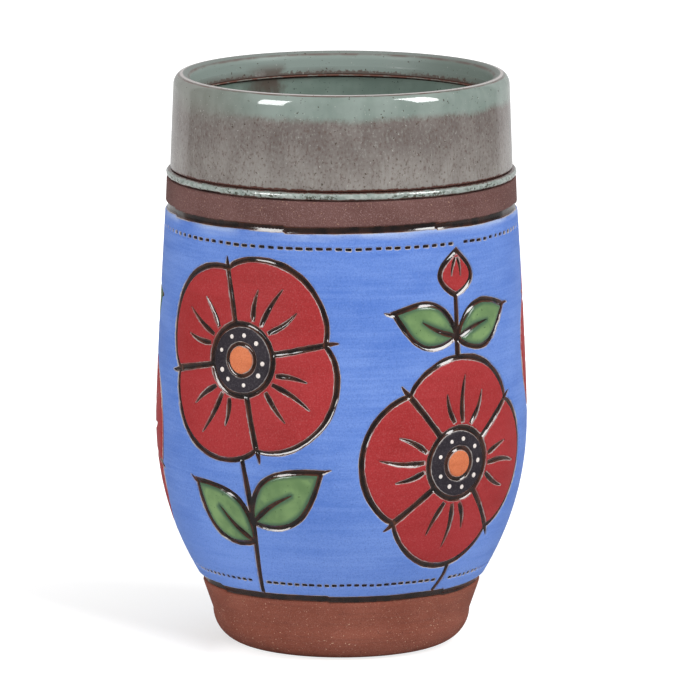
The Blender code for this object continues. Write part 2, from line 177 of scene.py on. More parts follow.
# Where across the mug the iron smudge inside begins and ends, and the heights over which the
# green of the lip breaks to grey: sharply in general, and vaguely at the far left.
SMUDGE_LEFT = -19.5 * MM
SMUDGE_RIGHT = -12 * MM
GREEN_SHARP = (0.1206, 0.1228)
GREEN_VAGUE = (0.1180, 0.1258)

# The camera and the lamps are turned towards the mug's axis at the height of its middle. The
# softboxes are given as (name, azimuth, elevation, width, height, radiance).
MIDDLE = 0.063
LENS = 471.7
SHIFT_X = 0.0121
SHIFT_Y = 0.0187
VIEW_ELEVATION = 9.885
VIEW_DISTANCE = 2.063
SOFTBOXES = (("key_softbox", 61.5, 35, 0.40, 0.85, 11.0), ("fill_softbox", -48.5, 21, 0.40, 0.70, 9.5))
LAMP_DISTANCE = 1.2

# The room lights the mug evenly. A glaze mirrors it dark, and the white sweep behind bright,
# as far round as the cosine of these angles says.
ROOM_LIGHT = 0.15
TOP_LIGHT = 1.15
TABLE_LIGHT = 1.38
ROOM_SEEN = 0.12
SWEEP_SEEN = 0.52
SWEEP_LEFT = cos(radians(54))
SWEEP_RIGHT = cos(radians(48.5))

# The table's shade for light, for the camera and for what mirrors it. Its top lies a hair's
# breadth under the foot, so that the two faces don't coincide. To the camera it also glows,
# less by the mug: this paints the shadow deeper there, and the painted shadow ends along two
# ways from the mug's axis over these distances.
TABLE_TOP = -0.02 * MM
TABLE_SHADES = (0.85, 0.42, 0.10)
WHITE = (1.0, 1.0, 1.0, 1.0)
PAINTED_SHADOW_GLOW = (0.54, 0.78)
PAINTED_SHADOW_EDGES = (((0.7, -0.7, 0.0), -0.021, -0.003), ((-0.776, -0.631, 0.0), 0.022, 0.040))


def outer_radius(height):
    """Radius of the finished outer surface of the panel."""
    if height <= BELLY:
        share = (BELLY - height) / BELLY_RISE
        return BELLY_RADIUS - FOOT_INSET * share**LOWER_FULLNESS
    share = (height - BELLY) / (PANEL_TOP - BELLY)
    return BELLY_RADIUS - SHOULDER_INSET * share**UPPER_FULLNESS


# Hand-made unevenness.


def wander(x, y, seed, size):
    """A smooth offset between -1 and 1 that changes over that size."""
    return noise.noise(Vector((x / size, y / size, seed * 7.31)))


def lumps(angle, height):
    """How far the thrown wall strays from a true turned form, in metres."""
    spot = Vector((cos(angle) * 1.3, sin(angle) * 1.3, height / 0.045))
    rings = sin(height / 0.0043 * 2 * pi + angle)
    return 0.10 * MM * noise.noise(spot) + 0.003 * MM * rings


def points_along(start, end, spacing):
    """Points from start to end, with both, no further apart than the spacing."""
    (x0, y0), (x1, y1) = start, end
    steps = max(1, ceil(hypot(x1 - x0, y1 - y0) / spacing))
    return [(x0 + (x1 - x0) * k / steps, y0 + (y1 - y0) * k / steps) for k in range(steps + 1)]


def resampled(points, spacing=EDGE_SPACING):
    """A closed outline with points added so that no step is longer than the spacing."""
    sides = zip(points, points[1:] + points[:1])
    return [point for start, end in sides for point in points_along(start, end, spacing)[:-1]]


def by_hand(points, seed, reach=0.22 * MM):
    """An outline as a hand-held tool leaves it."""
    moved = []
    for x, y in resampled(points):
        dx = reach * (wander(x, y, seed, 8 * MM) + 0.35 * wander(x, y, seed + 1, 2 * MM))
        dy = reach * (wander(x, y, seed + 2, 8 * MM) + 0.35 * wander(x, y, seed + 3, 2 * MM))
        moved.append((x + dx, y + dy))
    return moved


# The plants' outlines, measured from the middle of the bloom, as the solids have them.


def rightwards(start, end):
    """The unit vector to the right of the way from start to end."""
    dx, dy = end[0] - start[0], end[1] - start[1]
    length = hypot(dx, dy) or 1.0
    return dy / length, -dx / length


def grown(points, distance):
    """A counter-clockwise outline moved outwards, with its corners mitred."""
    moved = []
    for i, (x, y) in enumerate(points):
        ax, ay = rightwards(points[i - 1], (x, y))
        bx, by = rightwards((x, y), points[(i + 1) % len(points)])
        size = hypot(ax + bx, ay + by)
        mx, my = (ax + bx) / size, (ay + by) / size
        reach = distance / max(0.5, mx * ax + my * ay)
        moved.append((x + mx * reach, y + my * reach))
    return moved


def from_polar(points, turn=0.0):
    """Points given as (radius, angle), turned by that much."""
    return [(r * cos(a + turn), r * sin(a + turn)) for r, a in points]


def bloom_edge(angle):
    """Distance from the bloom's middle to its edge, with a notch between two petals."""
    lobe = abs(sin(angle * PETALS / 2)) ** PETAL_FULLNESS
    return BLOOM_RADIUS - NOTCH_DEPTH * (1 - lobe)


def petal_outline(index, turn, steps=28, root_steps=10):
    """One petal, from the bloom's dark centre to its edge, between two carved lines."""
    start = 2 * pi * index / PETALS
    span = 2 * pi / PETALS
    half_line = LINE_WIDTH / 2
    root = CENTRE_RADIUS + LINE_WIDTH
    edge_inset = asin(half_line / bloom_edge(start))
    root_inset = asin(half_line / root)
    points = []
    for step in range(steps + 1):
        angle = start + edge_inset + (span - 2 * edge_inset) * step / steps
        points.append((bloom_edge(angle), angle))
    for step in range(root_steps, -1, -1):
        angle = start + root_inset + (span - 2 * root_inset) * step / root_steps
        points.append((root, angle))
    return from_polar(points, turn)


def bloom_cut(turn, steps=200):
    """What a bloom and the line round it take out of the blue."""
    angles = [2 * pi * i / steps for i in range(steps)]
    return from_polar([(bloom_edge(a) + LINE_WIDTH, a) for a in angles], turn)


def ring(radius, steps=48):
    return from_polar([(radius, 2 * pi * i / steps) for i in range(steps)])


def turned_to(points, spot, lean):
    """Points drawn upright from (0, 0), moved to the spot and leant clockwise."""
    c, s = cos(radians(lean)), sin(radians(lean))
    return [(spot[0] + x * c + y * s, spot[1] - x * s + y * c) for x, y in points]


def leaf_outline(spot, lean, length, width, steps=20):
    shares = [i / steps for i in range(1, steps)]
    bulges = [sin(pi * share**LEAF_FULLNESS) for share in shares]
    right = [(width / 2 * bulge, length * s) for bulge, s in zip(bulges, shares)]
    left = [(-x, y) for x, y in reversed(right)]
    return turned_to([(0.0, 0.0), *right, (0.0, length), *left], spot, lean)


def stroke(path, widths):
    """A carved line along a path, with its width at each point: counter-clockwise."""
    right, left = [], []
    for i, (x, y) in enumerate(path):
        nx, ny = rightwards(path[max(i - 1, 0)], path[min(i + 1, len(path) - 1)])
        half = widths[i] / 2
        right.append((x + nx * half, y + ny * half))
        left.append((x - nx * half, y - ny * half))
    return right + left[::-1]


def tapered(start, end, bow, width, steps=14, blunt=0.55):
    """A stroke that starts broad and ends in a point, bowed sideways by that much."""
    dx, dy = end[0] - start[0], end[1] - start[1]
    path, widths = [], []
    for i in range(steps + 1):
        s = i / steps
        side = bow * sin(pi * s)
        path.append((start[0] + dx * s - dy * side, start[1] + dy * s + dx * side))
        widths.append(width * (min(1.0, blunt + 2 * s) * (1 - s) ** 0.6 + 0.06))
    return stroke(path, widths)


def bloom_height(share):
    low = GROUND_BOTTOM + STEM_STUB + BLOOM_REACH
    high = GROUND_TOP - TOP_MARGIN - BLOOM_REACH
    return low + (high - low) * share


def stem_point(share, height):
    """A point of the stem's middle line, from the border at 0 to the bloom at 1."""
    foot = GROUND_BOTTOM - height
    return (STEM_SWAY * sin(pi * share), foot + (STEM_TOP - foot) * share)


def plant_lines(share, height):
    """The middle lines of a plant's stem and sprig, and where its leaves and bud grow, as
    (spot, lean, length, width)."""
    foot = GROUND_BOTTOM - height
    paths = [[stem_point(i / 24, height) for i in range(25)]]
    springs, buds = [], []
    if share == 0.0:
        tip = GROUND_TOP - TOP_MARGIN - LINE_WIDTH - height
        room = tip - BLOOM_REACH
        for above, lean, size in SPRIG_LEAVES:
            springs.append(((0.0, BLOOM_REACH + above * room), lean, size))
        base = tip - BUD_LENGTH
        paths.append([(0.0, -STEM_TOP + (base + STEM_TOP) * i / 16) for i in range(17)])
        buds.append(((0.0, base), BUD_LEAN, BUD_LENGTH, BUD_LENGTH * BUD_SHAPE))
    else:
        room = -BLOOM_REACH - foot
        for below, lean, size in STEM_LEAVES if share == 1.0 else SHORT_STEM_LEAVES:
            along = room * (1 - below) / (STEM_TOP - foot)
            springs.append((stem_point(along, height), lean, size))
    leaves = []
    clear = LINE_WIDTH / 2 + SEAT_GAP
    for (x, y), lean, size in springs:
        out = radians(lean)
        spot = (x + clear * sin(out), y + clear * cos(out))
        length = LEAF_LENGTH * size
        leaves.append((spot, lean, length, length * LEAF_SHAPE))
    return paths, leaves, buds


# Coats on the wall. Outlines are on the unrolled wall: arc length at the belly, and height.


def on_wall(outline, degrees, height):
    """A plant's outline at its place on the unrolled wall, within one turn from the seam."""
    middle = radians(degrees - 90) * BELLY_RADIUS
    middle = SEAM + (middle - SEAM) % GIRTH
    stretch = BELLY_RADIUS / outer_radius(height)
    return [(middle + x * stretch, height + y) for x, y in outline]


def tree_of(points):
    tree = kdtree.KDTree(len(points))
    for i, (x, y) in enumerate(points):
        tree.insert((x, y, 0.0), i)
    tree.balance()
    return tree


def edge_tree(outlines):
    """A tree of points along the outlines, close enough to measure the distance to them."""
    return tree_of([point for outline in outlines for point in resampled(outline, SAMPLING)])


def border_of(triangles):
    """The edges that only one triangle has, each in that triangle's direction."""
    found = {}
    for a, b, c in triangles:
        for start, end in ((a, b), (b, c), (c, a)):
            if (end, start) in found:
                del found[(end, start)]
            else:
                found[(start, end)] = True
    return list(found)


def rim_tree(places, triangles):
    """A tree of points along the rim of the triangles, without the two sides of the seam."""
    samples = []
    for start, end in border_of(triangles):
        x = places[start].x
        if x != places[end].x or min(abs(x - SEAM), abs(x - SEAM - GIRTH)) >= MERGE:
            samples += points_along(places[start], places[end], SAMPLING)
    return tree_of(samples)


def rows_beside(outlines, tree):
    """Points in rows along both sides of the outlines, where no other edge is nearer."""
    found = []
    for outline in outlines:
        for i, (x, y) in enumerate(outline):
            nx, ny = rightwards(outline[i - 1], outline[(i + 1) % len(outline)])
            # The farthest row has every other point only.
            for row in EDGE_ROWS[:-1] if i % 2 else EDGE_ROWS:
                for out in (-row, row):
                    px, py = x + out * nx, y + out * ny
                    if tree.find((px, py, 0.0))[2] > 0.93 * row:
                        found.append((px, py))
    return found


def spread(points, tree):
    """Points evenly over the box round others, clear of the rows beside the edges."""
    found = []
    xs, ys = zip(*points)
    left, right, bottom, rise = min(xs), max(xs), min(ys), max(ys) - min(ys)
    rows = int(rise / (COAT_SPACING * sqrt(3) / 2))
    for row in range(1, rows):
        y = bottom + rise * row / rows
        x = left + COAT_SPACING * (0.5 + 0.5 * (row % 2))
        while x < right - 0.3 * COAT_SPACING:
            if tree.find((x, y, 0.0))[2] > EDGE_ROWS[-1] + 0.4 * COAT_SPACING:
                found.append((x, y))
            x += COAT_SPACING
    return found


def in_first(held):
    return held == {0}


def laid(name, outlines, face, material, stands_for, keep=in_first, back=SLIP, edges=None):
    """A coat on the wall, where keep says yes to the outlines that hold a triangle.
    face(x, y, distance to its rim) gives the depth of its front, and back is the depth of its
    back. One that goes right round is joined at the seam, and its edges without the seam are
    given."""
    tree = edge_tree(edges or outlines)
    points, faces = [], []
    for outline in outlines:
        faces.append(list(range(len(points), len(points) + len(outline))))
        points += outline
    points += rows_beside(outlines, tree) + spread(points, tree)
    flat = delaunay_2d_cdt([Vector(p) for p in points], [], faces, 1, MERGE)
    places, triangles, sources = flat[0], flat[2], flat[5]
    kept = [t for t, source in zip(triangles, sources) if keep(set(source))]
    rim = rim_tree(places, kept)

    number = {}
    if edges:
        left = {round(p.y, 7): i for i, p in enumerate(places) if abs(p.x - SEAM) < MERGE}
        for i, p in enumerate(places):
            if abs(p.x - SEAM - GIRTH) < MERGE and round(p.y, 7) in left:
                number[i] = left[round(p.y, 7)]
    kept = [[number.get(i, i) for i in t] for t in kept]
    used = sorted({i for t in kept for i in t})
    index = {old: new for new, old in enumerate(used)}
    kept = [[index[i] for i in t] for t in kept if len(set(t)) == 3]

    count = len(used)
    front, rear, distances = [], [], []
    for old in used:
        x, y = places[old]
        distance = rim.find((x, y, 0.0))[2]
        if distance < 0.5 * SAMPLING:
            distance = 0.0
        around = x / BELLY_RADIUS
        radius = outer_radius(min(max(y, FOOT_HEIGHT), PANEL_TOP)) + lumps(around, y)
        c, s = cos(around), sin(around)
        out = radius - face(x, y, distance)
        front.append((out * c, out * s, y))
        rear.append(((radius - back) * c, (radius - back) * s, y))
        distances.append(distance)
    faces = list(kept)
    faces += [[c + count, b + count, a + count] for a, b, c in kept]
    faces += [[b, a, a + count, b + count] for a, b in border_of(kept)]
    piece = new_piece(name, front + rear, faces, material, stands_for)
    marks = piece.data.attributes.new("edge", "FLOAT", "POINT")
    marks.data.foreach_set("value", np.array(distances * 2) / MM)
    piece.data.set_sharp_from_angle(angle=radians(50))
    return piece


def new_piece(name, places, faces, material, stands_for):
    mesh = bpy.data.meshes.new(name)
    mesh.from_pydata(places, [], faces)
    mesh.materials.append(material)
    mesh.shade_smooth()
    piece = bpy.data.objects.new(name, mesh)
    bpy.context.scene.collection.objects.link(piece)
    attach(piece, "root")
    if stands_for:
        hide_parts(*stands_for)
    return piece


def coat_face(x, y, distance):
    """A coat's face: level, rolled down at its rim, with a low burr just inside."""
    roll = max(0.0, 1 - distance / RIM_ROLL)
    burr = max(0.0, 1 - abs(distance / RIM_ROLL - 0.9) / 0.7)
    uneven = 0.5 + 0.5 * wander(x, y, 40, 3 * MM)
    brushed = 0.010 * MM * wander(x / 5, y, 41, 0.8 * MM)
    return RIM_DROP * roll * roll - 0.045 * MM * burr * uneven + brushed


def pool_face(x, y, distance):
    """A glaze's face: level, and rolled down at its rim."""
    roll = max(0.0, 1 - distance / RIM_ROLL)
    return 0.8 * RIM_DROP * roll * roll + 0.02 * MM * wander(x, y, 42, 4 * MM)


def groove_face(x, y, distance):
    """The glaze in a carved line: a hollow that rises to the coats on both sides."""
    share = min(1.0, distance / HALF_LINE)
    pooled = 0.05 * MM * wander(x, y, 50, 2.5 * MM)
    return GROOVE_EDGE + (GROOVE - GROOVE_EDGE) * share * (1.5 - 0.5 * share) + pooled


# Turned forms: a profile in radius and height, turned about Z.


def arc(centre_x, centre_z, radius, start, end, steps, rise=None):
    """Points of an arc in the profile plane, in degrees from +X towards +Z."""
    rise = radius if rise is None else rise
    angles = [radians(start + (end - start) * i / steps) for i in range(steps + 1)]
    return [(centre_x + radius * cos(a), centre_z + rise * sin(a)) for a in angles]


def divided(profile, spacing=1.2 * MM):
    """A profile with points added on its long straight parts."""
    found = profile[:1]
    for start, end in zip(profile, profile[1:]):
        found += points_along(start, end, spacing)[1:]
    return found


def beside(radius, height, *offsets):
    """Points of a profile, given by how many millimetres they are out from a place and up."""
    return [(radius + out * MM, height + up * MM) for out, up in offsets]


def turned(name, profile, material, stands_for, relief=None, closed=True):
    """The profile turned about Z. relief(angle, radius, height) gives an offset outwards and
    one upwards for each point. A profile that isn't closed begins and ends on the axis."""
    places, faces, rings = [], [], []
    for r, z in profile:
        if r == 0.0:
            rings.append([len(places)] * TURN_STEPS)
            places.append((0.0, 0.0, z))
            continue
        rings.append(list(range(len(places), len(places) + TURN_STEPS)))
        for k in range(TURN_STEPS):
            angle = 2 * pi * k / TURN_STEPS
            out, up = relief(angle, r, z) if relief else (lumps(angle, z), 0.0)
            places.append(((r + out) * cos(angle), (r + out) * sin(angle), z + up))
    pairs = list(zip(rings, rings[1:]))
    if closed:
        pairs.append((rings[-1], rings[0]))
    for upper, lower in pairs:
        for k in range(TURN_STEPS):
            n = (k + 1) % TURN_STEPS
            faces.append(list(dict.fromkeys((upper[n], upper[k], lower[k], lower[n]))))
    piece = new_piece(name, places, faces, material, stands_for)
    piece.data.set_sharp_from_angle(angle=radians(60))
    return piece


def lip_profile(depth, steps=10):
    crest_radius = LIP_RADIUS - CREST_ROUNDING
    across = CREST_ROUNDING - depth
    inner = arc(crest_radius, CREST - CREST_ROUNDING, across, CREST_SWEEP, 90, steps)
    outer = arc(crest_radius, CREST - CREST_DROP, across, 90, 0, steps, CREST_DROP - depth)
    return [(RIDGE_RADIUS + depth, RIDGE), *inner, *outer[1:], (COLLAR_RADIUS - depth, COLLAR_BOTTOM)]


def inside_profile(depth, top, steps=12):
    corner_height = FLOOR + INNER_CORNER
    corner_radius = outer_radius(corner_height) - WALL - INNER_CORNER
    corner = arc(corner_radius, corner_height, INNER_CORNER + depth, -90, 0, steps)
    heights = [corner_height + 2 * MM + 2.5 * MM * i for i in range(40)]
    heights = [h for h in heights if h < PANEL_TOP]
    return [
        (0.0, FLOOR - depth),
        *corner,
        *[(outer_radius(h) - WALL + depth, h) for h in heights],
        (COLLAR_RADIUS - WALL + depth, COLLAR_BOTTOM),
        (RIDGE_RADIUS + RIDGE_PROUD + depth, top),
    ]


# Materials.


def feed(node, inputs):
    """Links or sets inputs of a node."""
    for socket, value in inputs.items():
        if isinstance(value, bpy.types.NodeSocket):
            node.id_data.links.new(value, node.inputs[socket])
        else:
            node.inputs[socket].default_value = value


def put(kind, inputs, out=0, tree=None, **settings):
    """Adds a node to the tree, or to that of what feeds it, and returns one of its outputs."""
    if tree is None:
        tree = next(v.id_data for v in inputs.values() if isinstance(v, bpy.types.NodeSocket))
    made = tree.nodes.new(kind)
    for key, value in settings.items():
        setattr(made, key, value)
    feed(made, inputs)
    return made.outputs[out]


def calc(operation, *values):
    return put("ShaderNodeMath", dict(enumerate(values)), operation=operation)


def times(first, second):
    return calc("MULTIPLY", first, second)


def scaled(value, factor, added):
    return calc("MULTIPLY_ADD", value, factor, added)


def larger(first, second):
    return calc("MAXIMUM", first, second)


def apart(first, second):
    return calc("ABSOLUTE", calc("SUBTRACT", first, second))


def part(vector, axis):
    return put("ShaderNodeSeparateXYZ", {0: vector}, axis)


def blended(share, first, second):
    """Two numbers mixed."""
    return put("ShaderNodeMix", {0: share, 2: first, 3: second}, data_type="FLOAT")


def ramp(value, low, high, bottom=0.0, top=1.0):
    """Rises smoothly from bottom to top as the value goes from low to high."""
    inputs = {"Value": value, "From Min": low, "From Max": high, "To Min": bottom, "To Max": top}
    return put("ShaderNodeMapRange", inputs, interpolation_type="SMOOTHSTEP")


def ramp_by(value, place, low, high, bottom=0.0, top=1.0):
    """A ramp whose ends are given in millimetres from a place."""
    return ramp(value, place + low * MM, place + high * MM, bottom, top)


def mixed(share, *colours):
    """Two colours mixed. A colour is a socket or three numbers."""
    first, second = (c if isinstance(c, bpy.types.NodeSocket) else (*c, 1.0) for c in colours)
    return put("ShaderNodeMix", {0: share, 6: first, 7: second}, 2, data_type="RGBA")


def grain(where, size, detail=2.0, stretch=(1, 1, 1), shift=0.0):
    """Noise about 0.5 whose features are of that size in millimetres, drawn out by the
    stretch."""
    scale = tuple(1 / (size * MM * s) for s in stretch)
    spot = put("ShaderNodeMapping", {"Vector": where, "Scale": scale, "Location": (shift,) * 3})
    return put("ShaderNodeTexNoise", {"Vector": spot, "Scale": 1.0, "Detail": detail, "Roughness": 0.55})


def specks(where, size, share, shift):
    """1 in scattered small specks, the fewer the higher the share, and 0 between them."""
    return ramp(grain(where, size, 1.0, shift=shift), share, share + 0.035)


def speckled(colour, where, size, share, shift, strength, tone):
    """A colour with specks of another tone."""
    return mixed(times(specks(where, size, share, shift), strength), colour, tone)


def from_rim(where):
    """The distance from a coat's rim, in millimetres."""
    return put("ShaderNodeAttribute", {}, "Fac", where.id_data, attribute_name="edge")


def bumped(height, distance):
    """Relief from a height that goes from 0 to 1 over that distance in millimetres."""
    return put("ShaderNodeBump", {"Height": height, "Distance": distance * MM, "Strength": 1.0})


def surface(name, roughness, specular=0.5):
    """A new material, its shader, and the place on the mug in metres."""
    material = bpy.data.materials.new(name)
    material.use_nodes = True
    shader = material.node_tree.nodes["Principled BSDF"]
    feed(shader, {"Roughness": roughness, "Specular IOR Level": specular})
    return material, shader, put("ShaderNodeTexCoord", {}, "Object", material.node_tree)


def slip_material(name, deep, light, streak=0.4, roughness=0.52, wash=None):
    """Brushed slip: streaks round the wall, clouds where it lies thinner, faint grit, a thin pale
    rim along the carved lines, scraped and partly a painted highlight, and, where it is given a
    wash, a paler wash by the upper border and painted light from the table by the lower border."""
    material, shader, where = surface(name, roughness, 0.14)
    clouds = grain(where, 16, 3.0)
    streaks = grain(where, 0.50, 3.0, stretch=(22, 22, 1))
    broad = grain(where, 2.4, 2.0, stretch=(9, 9, 1), shift=3.0)
    canvas = grain(where, 0.45, 3.0, shift=15.0)
    lean = scaled(streaks, streak, times(broad, 0.45))
    lean = scaled(clouds, 0.6, lean)
    lean = scaled(canvas, 0.3, lean)
    middle = 0.5 * (streak + 0.45 + 0.6 + 0.3)
    colour = mixed(ramp(lean, middle - 0.27, middle + 0.27), deep, light)
    if wash:
        level = scaled(broad, 3.0 * MM, part(where, "Z"))
        high = ramp_by(level, GROUND_TOP, -0.5, 1.7, 0.0, 0.72)
        high = times(high, ramp(clouds, 0.3, 0.6))
        colour = mixed(high, colour, wash)
        # Painted light: towards the lower border the coat is lightened as if lit from the table.
        low = ramp_by(level, GROUND_BOTTOM, 30.0, 4.0, 0.0, 0.3)
        colour = mixed(low, colour, tuple(1.28 * c for c in light))
    dark = tuple(0.45 * c for c in deep)
    colour = speckled(colour, where, 0.42, 0.725, 5.0, 0.35, dark)
    fine = grain(where, 0.30, 2.0, shift=21.0)
    colour = mixed(ramp(fine, 0.48, 0.74, 0.0, 0.30), colour, dark)
    pale = tuple(0.6 * c + 0.2 for c in light)
    colour = mixed(ramp(fine, 0.50, 0.26, 0.0, 0.14), colour, pale)
    # A thin pale rim by the carved lines: scraped, and partly a painted highlight where light catches
    # the edge.
    ragged = scaled(grain(where, 0.8, 2.0, shift=8.0), 0.30, -0.04)
    bare = ramp(calc("SUBTRACT", from_rim(where), ragged), 0.07, -0.05)
    bare = times(bare, ramp(grain(where, 5, 2.0, shift=10.0), 0.38, 0.58, 0.30, 0.90))
    colour = mixed(bare, colour, (0.43, 0.40, 0.385))
    gloss = ramp(clouds, 0.3, 0.7, roughness - 0.05, roughness + 0.09)
    bump = bumped(scaled(streaks, 0.6, fine), 0.03)
    feed(shader, {"Base Color": colour, "Roughness": gloss, "Normal": bump})
    return material


def leaf_material():
    """Green glaze that is clear enough to pool darker and bluer along its rim."""
    material, shader, where = surface("green_glaze", 0.14)
    clouds = grain(where, 5, 3.0)
    colour = mixed(ramp(clouds, 0.3, 0.7), (0.108, 0.188, 0.077), (0.168, 0.272, 0.110))
    pooled = ramp(scaled(clouds, -1.4, from_rim(where)), 0.55, -0.60, 0.0, 0.85)
    colour = mixed(pooled, colour, (0.042, 0.088, 0.058))
    colour = speckled(colour, where, 0.55, 0.71, 2.0, 0.7, (0.02, 0.05, 0.02))
    feed(shader, {"Base Color": colour, "Normal": bumped(grain(where, 0.9, 2.0), 0.025)})
    return material


def line_material(name, sides):
    """Dark glossy glaze in the carved lines, with that share of brown where it runs thin at
    the sides."""
    material, shader, where = surface(name, 0.12, 0.9)
    clouds = grain(where, 3.0, 3.0)
    colour = mixed(ramp(clouds, 0.35, 0.7), (0.007, 0.005, 0.005), (0.026, 0.012, 0.009))
    thin = times(ramp(from_rim(where), 0.48, 0.06), ramp(clouds, 0.35, 0.6, 0.25 * sides, sides))
    colour = mixed(thin, colour, (0.094, 0.032, 0.018))
    feed(shader, {"Base Color": colour, "Normal": bumped(grain(where, 1.6, 2.0), 0.03)})
    return material


def clay_material():
    """Iron-red stoneware: red and gritty at the foot, mauve and close at the band, and dark
    with a line of glaze along it on the ridge inside."""
    material, shader, where = surface("iron_clay", 0.70, 0.15)
    z = part(where, "Z")
    clouds = grain(where, 9, 3.0)
    share = ramp(clouds, 0.3, 0.7)
    foot = mixed(share, (0.206, 0.058, 0.036), (0.246, 0.076, 0.049))
    band = mixed(share, (0.103, 0.047, 0.042), (0.129, 0.063, 0.057))
    at_band = ramp(z, 0.05, 0.06)
    colour = mixed(at_band, foot, band)
    lines = grain(where, 0.5, 2.0, stretch=(24, 24, 1), shift=1.0)
    colour = mixed(ramp(lines, 0.45, 0.75, 0.0, 0.22), colour, (0.10, 0.035, 0.028))
    fine = grain(where, 0.24, 2.0, shift=4.0)
    pale = mixed(at_band, (0.33, 0.17, 0.125), (0.30, 0.205, 0.195))
    colour = mixed(ramp(fine, 0.53, 0.72, 0.0, 0.50), colour, pale)
    colour = mixed(ramp(fine, 0.45, 0.30, 0.0, 0.40), colour, (0.075, 0.028, 0.022))
    strength = times(ramp(z, 0.014, 0.002, 0.45, 0.90), ramp(at_band, 1.0, 0.0, 0.8, 1.0))
    grog = times(larger(specks(where, 0.40, 0.715, 6.0), specks(where, 0.62, 0.735, 9.0)), strength)
    colour = mixed(grog, colour, (0.60, 0.40, 0.27))
    colour = speckled(colour, where, 0.45, 0.70, 12.0, 0.6, (0.06, 0.022, 0.018))
    uneven = scaled(grain(where, 1.4, 2.0), 0.5 * MM, z)
    off_line = apart(uneven, RIDGE - 0.20 * MM)
    whole = ramp(grain(where, 3, 3.0, shift=27.0), 0.42, 0.56)
    on_line = times(ramp_by(off_line, 0.0, 0.24, 0.08), whole)
    ridge = mixed(on_line, (0.150, 0.070, 0.054), (0.20, 0.19, 0.165))
    colour = mixed(ramp_by(z, BAND_TOP, 2, 4), colour, ridge)
    bump = bumped(scaled(lines, 0.5, calc("ADD", fine, grog)), 0.05)
    feed(shader, {"Base Color": colour, "Normal": bump})
    return material


def smudge_place(where, ragged):
    """How much of the iron smudge by the ridge inside is at each place across the mug."""
    x = scaled(grain(where, 1.5, 2.0, shift=23.0), 10.0 * ragged, part(where, "X"))
    begins = ramp_by(x, SMUDGE_LEFT, -2, 4)
    ends = ramp_by(x, SMUDGE_RIGHT, 2, -1)
    return times(times(begins, ends), ramp_by(part(where, "Y"), 0.0, 0.0, 5))


